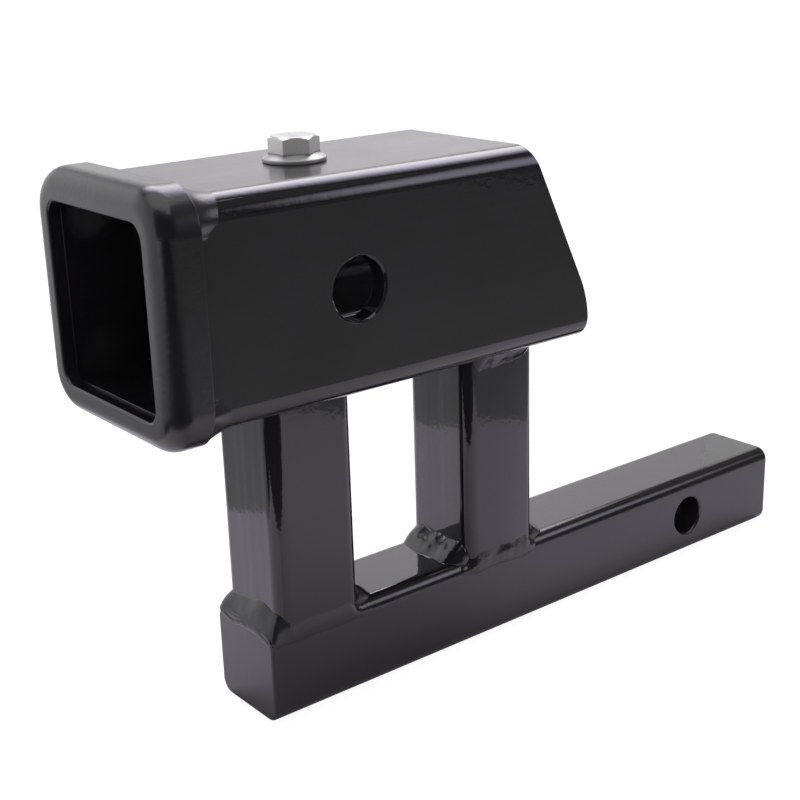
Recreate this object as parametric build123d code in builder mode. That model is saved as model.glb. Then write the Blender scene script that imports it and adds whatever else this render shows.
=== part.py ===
"""Hitch receiver adapter: a solid bar shank, two solid bar posts and a raised square receiver tube, welded.

Frame: the origin is the centre of the shank's pin hole, +X runs along the shank out of its free end,
+Y runs across (the pin's axis) and +Z is up. All lengths are in millimetres and angles in degrees.
"""

import os
from math import cos, radians, sin, tan

from build123d import *

# Bar stock of the shank and the posts
bar_size = 30.0
bar_corner_radius = 4.5
edge_break = 0.6

# Shank
shank_length = 234.0
shank_pin_to_end = 46.5
shank_pin_hole_diameter = 14.0

# Posts
post_height = 72.6
front_post_setback = 3.8
post_pitch = 74.1

# Receiver tube
tube_size = 63.5
tube_wall = 6.0
tube_corner_radius = 7.0
tube_inner_corner_radius = 1.5
mouth_overhang = 37.5
receiver_length = 152.4
heel_height = 13.0
rear_cut_angle = 25.6
receiver_pin_setback = 63.0
receiver_pin_hole_diameter = 18.0

# Mouth collar
collar_overhang = 3.5
collar_depth = 12.7
collar_lip = 4.0
collar_opening_step = 0.45
collar_opening_corner_radius = 5.0
collar_corner_radius = 12.7
collar_front_rounding = 6.35
collar_mouth_break = 0.8
collar_rear_break = 0.3
collar_socket_clearance = 0.1

# Anti-rattle bolt, M8 with a flange under a 13 mm hexagon
bolt_setback = 65.0
bolt_diameter = 8.0
bolt_length = 16.0
bolt_clearance = 0.1
bolt_flange_diameter = 18.4
bolt_flange_rim = 1.2
bolt_flange_height = 2.4
bolt_head_height = 7.4
bolt_across_flats = 13.0
bolt_head_turn = 31.3
bolt_crown_diameter = 12.2
bolt_crown_slope_angle = 30.0
bolt_point_chamfer = 0.9

# Weld beads
foot_leg_out = 7.0
foot_leg_up = 6.0
head_leg_out = 5.0
head_leg_down = 4.6
deep_head_leg_down = 8.2
bead_bulge = 0.6
bead_root_depth = 5.0
bead_half_run = 9.8
bead_end_run = 3.2
side_bead_down = 5.2
side_bead_up = 3.6
side_bead_bulge = 0.8
side_bead_depth = 4.2
side_bead_end_run = 3.0
front_post_bead_front_reach = 1.0
front_post_bead_rear_reach = 5.3
rear_post_bead_front_reach = 3.4
rear_post_bead_rear_reach = 1.2
nose_bead_up = 6.6
nose_bead_down = 4.4
nose_bead_bulge = 2.6
nose_bead_half_run = 11.0
nose_bead_end_run = 2.4
collar_bead_leg = 9.2
collar_bead_margin = 0.35
collar_bead_wrap = 5.0
collar_bead_tongue = 8.5

# Positions that follow from the sizes above
half_bar = bar_size / 2
half_tube = tube_size / 2
shank_end = shank_pin_to_end
shank_nose = shank_end - shank_length
front_post_x = shank_nose + front_post_setback + half_bar
rear_post_x = front_post_x + post_pitch
tube_under = half_bar + post_height
tube_axis = tube_under + half_tube
tube_top = tube_under + tube_size
mouth_x = shank_nose - mouth_overhang
tube_front = mouth_x + collar_lip
tube_heel = mouth_x + receiver_length
tube_inside = tube_size - 2 * tube_wall
collar_back = mouth_x + collar_depth
collar_size = tube_size + 2 * collar_overhang
collar_rear_size = collar_size - 2 * collar_rear_break
collar_opening = tube_inside + 2 * collar_opening_step
collar_bead_rise = collar_overhang - collar_bead_margin
slant = radians(rear_cut_angle)
receiver_pin_x = mouth_x + receiver_pin_setback
bolt_x = mouth_x + bolt_setback
bolt_radius = bolt_diameter / 2
bolt_crown_reach = bolt_across_flats - bolt_crown_diameter / 2
bolt_crown_drop = bolt_crown_reach * tan(radians(bolt_crown_slope_angle))

os.makedirs("parts", exist_ok=True)

# The shank is one solid bar with a cross hole for the hitch pin.
with BuildPart() as shank_bar:
    with BuildSketch(Plane.YZ.offset(shank_nose)):
        RectangleRounded(bar_size, bar_size, bar_corner_radius)
    extrude(amount=shank_length)
    chamfer(shank_bar.faces().sort_by(Axis.X)[-1].edges(), edge_break)
    chamfer(shank_bar.faces().sort_by(Axis.X)[0].edges(), edge_break)
    with Locations(Plane.XZ.offset(half_bar)):
        Hole(shank_pin_hole_diameter / 2, depth=bar_size)
    chamfer(shank_bar.edges(Select.LAST).filter_by(GeomType.CIRCLE), edge_break)
shank_bar.part.label = "shank_bar"
export_step(shank_bar.part, "parts/shank_bar.step")

# Both posts are cut from the same bar and stand on the shank's flat top.
with BuildPart() as front_post:
    with BuildSketch(Plane.XY.offset(half_bar)):
        with Locations((front_post_x, 0)):
            RectangleRounded(bar_size, bar_size, bar_corner_radius)
    extrude(amount=post_height)
front_post.part.label = "front_post"
export_step(front_post.part, "parts/front_post.step")

with BuildPart() as rear_post:
    with BuildSketch(Plane.XY.offset(half_bar)):
        with Locations((rear_post_x, 0)):
            RectangleRounded(bar_size, bar_size, bar_corner_radius)
    extrude(amount=post_height)
rear_post.part.label = "rear_post"
export_step(rear_post.part, "parts/rear_post.step")

# The receiver tube is open at both ends. Its rear end is cut on a slant above a short square heel.
with BuildPart() as receiver_tube:
    with BuildSketch(Plane.YZ.offset(tube_front)):
        with Locations((0, tube_axis)):
            RectangleRounded(tube_size, tube_size, tube_corner_radius)
            RectangleRounded(tube_inside, tube_inside, tube_inner_corner_radius, mode=Mode.SUBTRACT)
    extrude(amount=tube_heel - tube_front)
    heel_top = (tube_heel, 0, tube_under + heel_height)
    rear_cut = Plane(heel_top, x_dir=(0, 1, 0), z_dir=(cos(slant), 0, sin(slant)))
    split(bisect_by=rear_cut, keep=Keep.BOTTOM)
    with Locations(Plane((receiver_pin_x, -half_tube, tube_axis), z_dir=(0, -1, 0))):
        Hole(receiver_pin_hole_diameter / 2, depth=tube_size)
    pin_rims = receiver_tube.edges(Select.LAST).filter_by(GeomType.CIRCLE)
    chamfer(pin_rims.sort_by(Axis.Y)[0], edge_break)
    chamfer(pin_rims.sort_by(Axis.Y)[-1], edge_break)
    with Locations(Plane((bolt_x, 0, tube_top))):
        Hole(bolt_radius + bolt_clearance, depth=tube_wall)
receiver_tube.part.label = "receiver_tube"
export_step(receiver_tube.part, "parts/receiver_tube.step")

# The mouth collar is a thick ring with a rounded front: the tube's end sits in a socket in its back.
with BuildPart() as mouth_collar:
    with BuildSketch(Plane.YZ.offset(mouth_x)):
        with Locations((0, tube_axis)):
            RectangleRounded(collar_size, collar_size, collar_corner_radius)
    extrude(amount=collar_depth)
    fillet(mouth_collar.faces().sort_by(Axis.X)[0].edges(), collar_front_rounding)
    chamfer(mouth_collar.faces().sort_by(Axis.X)[-1].edges(), collar_rear_break)
    with BuildSketch(Plane.YZ.offset(mouth_x)):
        with Locations((0, tube_axis)):
            RectangleRounded(collar_opening, collar_opening, collar_opening_corner_radius)
    extrude(amount=collar_depth, mode=Mode.SUBTRACT)
    mouth_rim = mouth_collar.faces().sort_by(Axis.X)[0].inner_wires()[0]
    chamfer(mouth_rim.edges(), collar_mouth_break)
    socket_size = tube_size + 2 * collar_socket_clearance
    with BuildSketch(Plane.YZ.offset(tube_front)):
        with Locations((0, tube_axis)):
            RectangleRounded(socket_size, socket_size, tube_corner_radius + collar_socket_clearance)
    extrude(amount=collar_depth, mode=Mode.SUBTRACT)
mouth_collar.part.label = "mouth_collar"
export_step(mouth_collar.part, "parts/mouth_collar.step")

# The clamp bolt is one piece: hexagon, flange and a threaded shank drawn as its plain outside form.
with BuildPart() as anti_rattle_bolt:
    with BuildSketch(Plane.XY.offset(tube_top)):
        with Locations((bolt_x, 0)):
            RegularPolygon(bolt_across_flats / 2, 6, major_radius=False, rotation=bolt_head_turn)
    extrude(amount=bolt_head_height)
    with BuildSketch(Plane.XZ):
        with BuildLine():
            Polyline(
                (bolt_x, tube_top),
                (bolt_x + bolt_across_flats, tube_top),
                (bolt_x + bolt_across_flats, tube_top + bolt_head_height - bolt_crown_drop),
                (bolt_x + bolt_crown_diameter / 2, tube_top + bolt_head_height),
                (bolt_x, tube_top + bolt_head_height),
                close=True,
            )
        make_face()
    revolve(axis=Axis((bolt_x, 0, 0), (0, 0, 1)), mode=Mode.INTERSECT)
    with BuildSketch(Plane.XZ):
        with BuildLine():
            Polyline(
                (bolt_x, tube_top - bolt_length),
                (bolt_x + bolt_radius - bolt_point_chamfer, tube_top - bolt_length),
                (bolt_x + bolt_radius, tube_top - bolt_length + bolt_point_chamfer),
                (bolt_x + bolt_radius, tube_top),
                (bolt_x + bolt_flange_diameter / 2, tube_top),
                (bolt_x + bolt_flange_diameter / 2, tube_top + bolt_flange_rim),
                (bolt_x + bolt_across_flats / 2, tube_top + bolt_flange_height),
                (bolt_x, tube_top + bolt_flange_height),
                close=True,
            )
        make_face()
    revolve(axis=Axis((bolt_x, 0, 0), (0, 0, 1)))
anti_rattle_bolt.part.label = "anti_rattle_bolt"
export_step(anti_rattle_bolt.part, "parts/anti_rattle_bolt.step")


def straight_bead(seat, half_run, end_run, toe_a, toe_b, bulge, root, members):
    """Lay one weld run either way from its seat. Its face is an arc from toe to toe, and its ends are bevelled."""
    run_x = toe_b[0] - toe_a[0]
    run_y = toe_b[1] - toe_a[1]
    chord = (run_x**2 + run_y**2) ** 0.5
    rise = (run_y / chord, -run_x / chord)
    crest = ((toe_a[0] + toe_b[0]) / 2 + bulge * rise[0], (toe_a[1] + toe_b[1]) / 2 + bulge * rise[1])
    height = crest[0] * rise[0] + crest[1] * rise[1]
    reach = half_run + end_run
    out = seat.x_dir * rise[0] + seat.y_dir * rise[1]
    bevels = Plane(seat.origin, x_dir=seat.z_dir, z_dir=seat.z_dir.cross(out))
    with BuildPart() as bead:
        with BuildSketch(seat.offset(-reach)):
            with BuildLine():
                ThreePointArc(toe_a, crest, toe_b)
                Polyline(toe_b, *root, toe_a)
            make_face()
        extrude(amount=2 * reach)
        with BuildSketch(bevels):
            with BuildLine():
                Polyline(
                    (-reach, -reach),
                    (reach, -reach),
                    (reach, 0),
                    (half_run - end_run, 2 * height),
                    (end_run - half_run, 2 * height),
                    (-reach, 0),
                    close=True,
                )
            make_face()
        extrude(amount=reach, both=True, mode=Mode.INTERSECT)
        for member in members:
            add(member, mode=Mode.SUBTRACT)
    return bead.part


def fillet_bead(seat, leg_out, leg_up, members):
    """Weld a run into a square corner: the seat's x runs out from the post, its y along the post."""
    root = [(-bead_root_depth, leg_up), (-bead_root_depth, -bead_root_depth), (leg_out, -bead_root_depth)]
    toe_a = (leg_out, 0)
    toe_b = (0, leg_up)
    return straight_bead(seat, bead_half_run, bead_end_run, toe_a, toe_b, bead_bulge, root, members)


def side_bead(side, start, end, members):
    """Fill the groove between a post's flat side and the shank's rounded edge, from start to end along X."""
    along = (-side, 0, 0)
    seat = Plane(((start + end) / 2, side * half_bar, half_bar), x_dir=(0, side, 0), z_dir=along)
    root = [(-side_bead_depth, 0), (-side_bead_depth, -side_bead_down)]
    half_run = (end - start) / 2 - side_bead_end_run
    toe_a = (0, -side_bead_down)
    toe_b = (0, side_bead_up)
    return straight_bead(seat, half_run, side_bead_end_run, toe_a, toe_b, side_bead_bulge, root, members)


def save(part, name):
    """Label one weld bead and write its file."""
    part.label = name
    export_step(part, f"parts/{name}.step")


# The front post's nose bead fills the short step in front of it and runs over the shank's end.
nose_seat = Plane((front_post_x - half_bar, 0, half_bar), x_dir=(-1, 0, 0), z_dir=(0, 1, 0))
nose_toe = (front_post_setback, -nose_bead_down)
nose_top = (0, nose_bead_up)
nose_root = [(-bead_root_depth, nose_bead_up), (-bead_root_depth, -nose_bead_down)]
nose_bead = straight_bead(
    nose_seat,
    nose_bead_half_run,
    nose_bead_end_run,
    nose_toe,
    nose_top,
    nose_bead_bulge,
    nose_root,
    [shank_bar.part, front_post.part],
)
save(nose_bead, "front_post_foot_front_weld")

# The other beads round each post's foot, then those round its head under the tube.
for post_name, post, post_x, front_reach, rear_reach, side_head_leg in (
    (
        "front_post",
        front_post.part,
        front_post_x,
        front_post_bead_front_reach,
        front_post_bead_rear_reach,
        head_leg_down,
    ),
    (
        "rear_post",
        rear_post.part,
        rear_post_x,
        rear_post_bead_front_reach,
        rear_post_bead_rear_reach,
        deep_head_leg_down,
    ),
):
    front_face = post_x - half_bar
    rear_face = post_x + half_bar
    foot_members = [shank_bar.part, post]
    if post_name == "front_post":
        foot_members.append(nose_bead)
    else:
        front_seat = Plane((front_face, 0, half_bar), x_dir=(-1, 0, 0), z_dir=(0, 1, 0))
        front_bead = fillet_bead(front_seat, foot_leg_out, foot_leg_up, foot_members)
        save(front_bead, f"{post_name}_foot_front_weld")
        foot_members.append(front_bead)
    rear_seat = Plane((rear_face, 0, half_bar), x_dir=(1, 0, 0), z_dir=(0, -1, 0))
    rear_bead = fillet_bead(rear_seat, foot_leg_out, foot_leg_up, foot_members)
    save(rear_bead, f"{post_name}_foot_rear_weld")
    foot_members.append(rear_bead)
    for side_name, side in (("left", 1), ("right", -1)):
        bead = side_bead(side, front_face - front_reach, rear_face + rear_reach, foot_members)
        save(bead, f"{post_name}_foot_{side_name}_weld")
    head_members = [receiver_tube.part, post]
    for side_name, out, along, leg_down in (
        ("front", (-1, 0, 0), (0, -1, 0), head_leg_down),
        ("rear", (1, 0, 0), (0, 1, 0), head_leg_down),
        ("left", (0, 1, 0), (-1, 0, 0), side_head_leg),
        ("right", (0, -1, 0), (1, 0, 0), side_head_leg),
    ):
        seat = Plane((post_x + half_bar * out[0], half_bar * out[1], tube_under), x_dir=out, z_dir=along)
        bead = fillet_bead(seat, head_leg_out, leg_down, head_members)
        save(bead, f"{post_name}_head_{side_name}_weld")

# The collar is welded to the tube along its top and bottom, and each run turns the corners a little way.
for run_name, sign, edge_z in (("top", 1, tube_top), ("bottom", -1, tube_under)):
    start_z = edge_z - sign * (tube_corner_radius + collar_bead_wrap)
    tongue_z = start_z + sign * collar_bead_tongue
    with BuildPart() as collar_weld:
        with BuildLine(Plane.YZ.offset(collar_back)) as collar_run:
            FilletPolyline(
                (-half_tube, start_z),
                (-half_tube, edge_z),
                (half_tube, edge_z),
                (half_tube, start_z),
                radius=tube_corner_radius,
            )
        with BuildSketch(Plane((collar_back, -half_tube, start_z), x_dir=(1, 0, 0), z_dir=(0, 0, sign))):
            with BuildLine():
                Polyline((0, 0), (collar_bead_leg, 0), (0, -sign * collar_bead_rise), close=True)
            make_face()
        sweep(path=collar_run.wires()[0])
        with BuildSketch(Plane.XZ):
            with BuildLine():
                Polyline(
                    (collar_back, start_z),
                    (collar_back + collar_bead_leg, start_z),
                    (collar_back + collar_bead_leg, tongue_z),
                    close=True,
                )
            make_face()
        extrude(amount=collar_size, both=True, mode=Mode.SUBTRACT)
        with BuildSketch(Plane.YZ.offset(collar_back)):
            with Locations((0, tube_axis)):
                RectangleRounded(collar_rear_size, collar_rear_size, collar_corner_radius - collar_rear_break)
        extrude(amount=collar_bead_leg, mode=Mode.INTERSECT)
    save(collar_weld.part, f"collar_{run_name}_weld")
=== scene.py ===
"""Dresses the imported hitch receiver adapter: coated steel, weld runs, clamp bolt and a plain studio."""

from math import ceil, cos, pi, radians, sin, sqrt, tan

import bmesh
import bpy
from bpy.props import FloatProperty, FloatVectorProperty, IntProperty, PointerProperty
from mathutils import Matrix, Vector, noise


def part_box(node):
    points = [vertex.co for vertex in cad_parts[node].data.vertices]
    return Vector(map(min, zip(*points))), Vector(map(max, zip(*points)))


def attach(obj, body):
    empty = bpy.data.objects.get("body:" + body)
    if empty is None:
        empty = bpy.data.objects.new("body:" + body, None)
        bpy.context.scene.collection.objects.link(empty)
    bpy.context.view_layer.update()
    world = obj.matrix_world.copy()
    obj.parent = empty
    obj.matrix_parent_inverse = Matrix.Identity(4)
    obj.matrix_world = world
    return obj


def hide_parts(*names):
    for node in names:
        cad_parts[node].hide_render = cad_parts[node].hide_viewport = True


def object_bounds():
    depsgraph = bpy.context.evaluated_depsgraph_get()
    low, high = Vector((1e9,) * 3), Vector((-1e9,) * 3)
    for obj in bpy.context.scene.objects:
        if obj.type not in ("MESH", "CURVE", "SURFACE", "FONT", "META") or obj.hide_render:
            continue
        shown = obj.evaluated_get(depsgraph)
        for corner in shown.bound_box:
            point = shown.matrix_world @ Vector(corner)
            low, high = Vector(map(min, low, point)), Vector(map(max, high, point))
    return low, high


bl_info = {
    "name": "Hitch Receiver Adapter",
    "version": (1, 0, 0),
    "blender": (4, 5, 0),
    "location": "View3D > Sidebar > Adapter",
    "description": "Dresses the packed hitch receiver adapter and sets up its studio",
    "category": "Object",
}

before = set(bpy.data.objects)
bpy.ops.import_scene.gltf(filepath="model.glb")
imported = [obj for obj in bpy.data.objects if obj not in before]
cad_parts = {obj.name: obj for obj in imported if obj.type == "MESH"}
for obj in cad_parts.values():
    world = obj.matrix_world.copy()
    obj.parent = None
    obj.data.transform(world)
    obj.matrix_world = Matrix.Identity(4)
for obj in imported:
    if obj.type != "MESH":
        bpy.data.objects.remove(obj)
CAD_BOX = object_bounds()

MM = 0.001
STEEL_BODY = "weldment"
BOLT_BODY = "bolt"
COAT_SLOT = "black_coat"
BRIGHT_SLOT = "bright_steel"
POSTS = ("front_post", "rear_post")


def length(name, description, default):
    """A length property in metres, given in millimetres."""
    return FloatProperty(name=name, description=description, default=default * MM, unit="LENGTH", precision=5)


def share(name, description, default):
    """A plain number between nothing and one."""
    return FloatProperty(
        name=name, description=description, default=default, min=0.0, max=1.0, subtype="FACTOR"
    )


def level(name, description, default):
    """A brightness."""
    return FloatProperty(name=name, description=description, default=default)


def tilt(name, description, degrees):
    """An angle in radians, given in degrees."""
    return FloatProperty(name=name, description=description, default=radians(degrees), subtype="ANGLE")


def paint(name, description, default):
    """A colour."""
    return FloatVectorProperty(name=name, description=description, default=default, subtype="COLOR")


def where(name, description, default):
    """A place in metres."""
    return FloatVectorProperty(name=name, description=description, default=default, unit="LENGTH")


class AdapterCoatSettings(bpy.types.PropertyGroup):
    """The black coat on bars, tube, collar and welds."""

    colour: paint("Colour", "Colour of the coat", (0.0115, 0.0105, 0.0125))
    roughness: share("Roughness", "Roughness of the coat on bars and tube", 0.06)
    top_film: share("Top Film", "Added roughness of the dusty film on the tube's top", 0.16)
    cast_roughness: share("Collar Roughness", "Roughness of the coat on the collar's coarse skin", 0.24)
    weld_roughness: share("Weld Roughness", "Roughness of the coat on the welds", 0.13)
    peel_width: length("Peel Width", "Width of one cell of the coat's orange peel", 1.9)
    peel_height: length("Peel Height", "Depth of the coat's orange peel", 0.03)
    streak_width: length("Streak Width", "Width of the drawing lines under the coat", 0.5)
    streak_height: length("Streak Height", "Depth of the drawing lines under the coat", 0.003)
    # The paler bands on the posts' front and rear are painted sheen: lavender-grey streaks that stand in for
    # reflections.
    sheen_band_width: length("Band Width", "Width of the paler bands on a post's front and rear", 2.6)
    sheen_band_colour: paint("Band Colour", "Colour of the paler bands", (0.04, 0.037, 0.046))
    collar_pits: length("Collar Pits", "Depth of the pits in the collar's coarse skin", 0.012)
    weld_pits: length("Weld Pits", "Depth of the pits in the welds", 0.02)
    edge_round: length("Edge Round", "Rounding that the coat gives every sharp edge", 0.5)
    bar_radius: length("Bar Corner Radius", "Corner radius of the bar stock", 4.5)
    heel_round: length("Heel Round", "Rounding between the tube's slanted end and its square heel", 7.0)


class AdapterWeldSettings(bpy.types.PropertyGroup):
    """The weld runs."""

    foot_out: length("Foot Leg Out", "Reach of a foot run over the shank", 7.0)
    foot_up: length("Foot Leg Up", "Reach of a foot run up the post", 6.0)
    head_out: length("Head Leg Out", "Reach of a head run under the tube", 5.0)
    head_down: length("Head Leg Down", "Reach of a head run down the post", 4.6)
    deep_down: length("Deep Leg Down", "Reach of the lower hanging head runs down the post", 8.2)
    deep_lean: share("Deep Lean", "How much lower such a run hangs at one end", 0.14)
    bulge: length("Bulge", "How far a run's face stands out from the line between its toes", 0.35)
    foot_half: length("Foot Half Run", "Half the length of a foot run across the shank", 14.0)
    head_half: length("Head Half Run", "Half the length of a head run", 13.0)
    side_low: length("Side Toe Low", "Height of a side run's lower toe below the shank's top", 5.2)
    side_high: length("Side Toe High", "Height of a side run's upper toe above the shank's top", 3.6)
    side_bulge: length("Side Bulge", "How far a side run stands out from the bars' sides", 0.4)
    root: length("Root Depth", "How deep a run's root lies in the bars", 2.2)
    ripple_pitch: length("Ripple Pitch", "Distance from one ripple of a run to the next", 3.4)
    ripple_height: length("Ripple Height", "Height of the ripples", 0.13)
    lump_size: length("Lump Size", "Size of the uneven lumps of a run", 5.2)
    lump_height: length("Lump Height", "Height of the uneven lumps of a run", 0.75)
    seed: IntProperty(name="Seed", description="Seed of the uneven lumps", default=4)


class AdapterCollarSettings(bpy.types.PropertyGroup):
    """The thick ring round the tube's mouth and its two weld runs."""

    corner_radius: length("Corner Radius", "Outside corner radius of the ring", 12.7)
    front_round: length("Front Round", "Rounding of the ring's front edge", 6.35)
    back_break: length("Back Break", "Rounding of the ring's rear edge", 0.5)
    opening: length("Opening", "Width of the ring's opening", 52.4)
    opening_radius: length("Opening Radius", "Corner radius of the opening", 5.0)
    mouth_round: length("Mouth Round", "Rounding of the opening's front edge", 0.8)
    lip: length("Lip", "Depth of the ring in front of the tube's end", 4.0)
    socket_gap: length("Socket Gap", "Room between the ring's socket and the tube", 0.1)
    tube_radius: length("Tube Corner Radius", "Outside corner radius of the tube", 7.0)
    bead_leg: length("Bead Leg", "Reach of the ring's weld run along the tube", 9.2)
    bead_hollow: length("Bead Hollow", "How far the run's face is hollowed", 0.5)
    bead_wrap: length("Bead Wrap", "How far the run turns down the tube's sides", 5.0)


class AdapterBoltSettings(bpy.types.PropertyGroup):
    """The clamp bolt."""

    across_flats: length("Across Flats", "Width of the hexagon", 13.0)
    turn: tilt("Turn", "Turn of the hexagon about its axis", 31.3)
    head_height: length("Head Height", "Height of the hexagon's top above the tube", 7.4)
    crown: length("Crown", "Diameter of the flat top inside the crown", 12.2)
    crown_slope: tilt("Crown Slope", "Slope of the crown's cone", 30)
    dish: length("Dish", "Depth of the hollow in the head's top", 0.2)
    flange: length("Flange", "Diameter of the flange", 18.4)
    flange_rim: length("Flange Rim", "Height of the flange's rim", 1.2)
    flange_height: length("Flange Height", "Height of the flange's cone", 2.4)
    shank: length("Shank", "Outside diameter of the thread", 8.0)
    reach: length("Reach", "Length of the threaded shank", 16.0)
    pitch: length("Pitch", "Pitch of the thread", 1.25)
    thread_depth: length("Thread Depth", "Depth of the thread", 0.65)
    point: length("Point", "Chamfer at the thread's end", 0.9)
    edge_round: length("Edge Round", "Rounding of the bolt's edges", 0.5)
    plate_dark: paint("Plate Dark", "Darker clouds of the plating", (0.37, 0.367, 0.36))
    plate_light: paint("Plate Light", "Lighter clouds of the plating", (0.45, 0.447, 0.44))
    # The paler flats colours are a painted highlight on the crown cone and the upper part of the hexagon's
    # flats.
    flats_highlight_dark: paint("Flats Dark", "Darker clouds on the wrench flats", (0.82, 0.815, 0.8))
    flats_highlight_light: paint("Flats Light", "Lighter clouds on the wrench flats", (0.92, 0.915, 0.9))


class AdapterStageSettings(bpy.types.PropertyGroup):
    """Camera, floor, cards and lamp."""

    camera_place: where("Camera", "Where the camera stands", (-0.3874, -0.335123, 0.21254))
    camera_aim: where("Aim", "What the camera points at", (-0.124464, 0.0, 0.070941))
    camera_roll: tilt("Roll", "Turn of the camera about its view", 1.748)
    camera_lens: FloatProperty(
        name="Lens", description="Focal length on a 36 mm sensor", default=63.578, unit="CAMERA"
    )
    paper_left: length("Paper Left", "Left edge of the paper from the camera's line of sight", 193)
    paper_right: length("Paper Right", "Right edge of the paper from the camera's line of sight", 248)
    paper_seam: length("Paper Seam", "Where the papers meet, to the left of the line of sight", 45)
    paper_front: length("Paper Front", "How far the paper comes forward of the object", 190)
    paper_back: length("Paper Back", "Where the paper turns up behind the object", 560)
    paper_height: length("Paper Height", "How high the paper goes", 620)
    card_left: length("Left Card", "Distance of the white card on the left", 420)
    card_right: length("Right Card", "Distance of the dark card on the right", 950)
    panel_level: level("Panel Level", "Brightness of the panel overhead", 5.0)
    side_level: level("Side Level", "Brightness of the panel on the right", 1.85)
    world_level: level("World Level", "Brightness of the room", 0.66)


class AdapterSettings(bpy.types.PropertyGroup):
    """All settings of the adapter."""

    coat: PointerProperty(type=AdapterCoatSettings, name="Coat", description="The black coat")
    weld: PointerProperty(type=AdapterWeldSettings, name="Welds", description="The weld runs")
    collar: PointerProperty(type=AdapterCollarSettings, name="Collar", description="The ring round the mouth")
    bolt: PointerProperty(type=AdapterBoltSettings, name="Bolt", description="The clamp bolt")
    stage: PointerProperty(type=AdapterStageSettings, name="Stage", description="Camera, floor and lights")


class Term:
    """A node's output that can be used in plain arithmetic; each operation adds its Math node."""

    def __init__(self, graph, socket):
        self.graph = graph
        self.socket = socket

    def __add__(self, other):
        return self.graph.math("ADD", self, other)

    def __radd__(self, other):
        return self.graph.math("ADD", other, self)

    def __sub__(self, other):
        return self.graph.math("SUBTRACT", self, other)

    def __rsub__(self, other):
        return self.graph.math("SUBTRACT", other, self)

    def __mul__(self, other):
        return self.graph.math("MULTIPLY", self, other)

    def __rmul__(self, other):
        return self.graph.math("MULTIPLY", other, self)

    def __truediv__(self, other):
        return self.graph.math("DIVIDE", self, other)

    def __rtruediv__(self, other):
        return self.graph.math("DIVIDE", other, self)

    def sine(self):
        return self.graph.math("SINE", self)

    def at_least(self, other):
        return self.graph.math("MAXIMUM", self, other)

    def ramp(self, low, high):
        """Nothing below low, one above high and smooth between."""
        return self.graph.add(
            "ShaderNodeMapRange",
            {"interpolation_type": "SMOOTHSTEP"},
            {"Value": self, "From Min": low, "From Max": high},
        )


class Graph:
    """A node tree that is written as expressions."""

    def __init__(self, tree):
        self.tree = tree

    def add(self, kind, settings=None, sockets=None, out=0):
        """Add any node: its settings come first, then the values or links of its sockets."""
        node = self.tree.nodes.new(kind)
        for key, value in (settings or {}).items():
            setattr(node, key, value)
        for key, value in (sockets or {}).items():
            self.feed(node.inputs[key], value)
        return Term(self, node.outputs[out]) if node.outputs else None

    def feed(self, socket, value):
        """Link a term to a socket, or set a plain value on it."""
        if isinstance(value, Term):
            self.tree.links.new(value.socket, socket)
        else:
            socket.default_value = value

    def math(self, operation, *terms):
        return self.add("ShaderNodeMath", {"operation": operation}, dict(enumerate(terms)))

    def noise(self, place, scale, detail=2.0):
        return self.add("ShaderNodeTexNoise", {}, {"Vector": place, "Scale": scale, "Detail": detail})

    def stretch(self, place, factors):
        """The place with each axis scaled by its own factor."""
        return self.add("ShaderNodeMapping", {"vector_type": "POINT"}, {"Vector": place, "Scale": factors})

    def mix_colour(self, factor, first, second):
        return self.add("ShaderNodeMix", {"data_type": "RGBA"}, {0: factor, 6: first, 7: second}, out=2)

    def bump(self, height, distance):
        return self.add("ShaderNodeBump", {}, {"Strength": 1.0, "Distance": distance, "Height": height})


def new_material(name):
    """A fresh material with its graph and its principled shader."""
    material = bpy.data.materials.new(name)
    material.use_nodes = True
    return material, Graph(material.node_tree), material.node_tree.nodes["Principled BSDF"]


def opaque(colour, factor=1.0):
    """A colour with its alpha, brighter or darker by the factor."""
    return (colour[0] * factor, colour[1] * factor, colour[2] * factor, 1.0)


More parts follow.
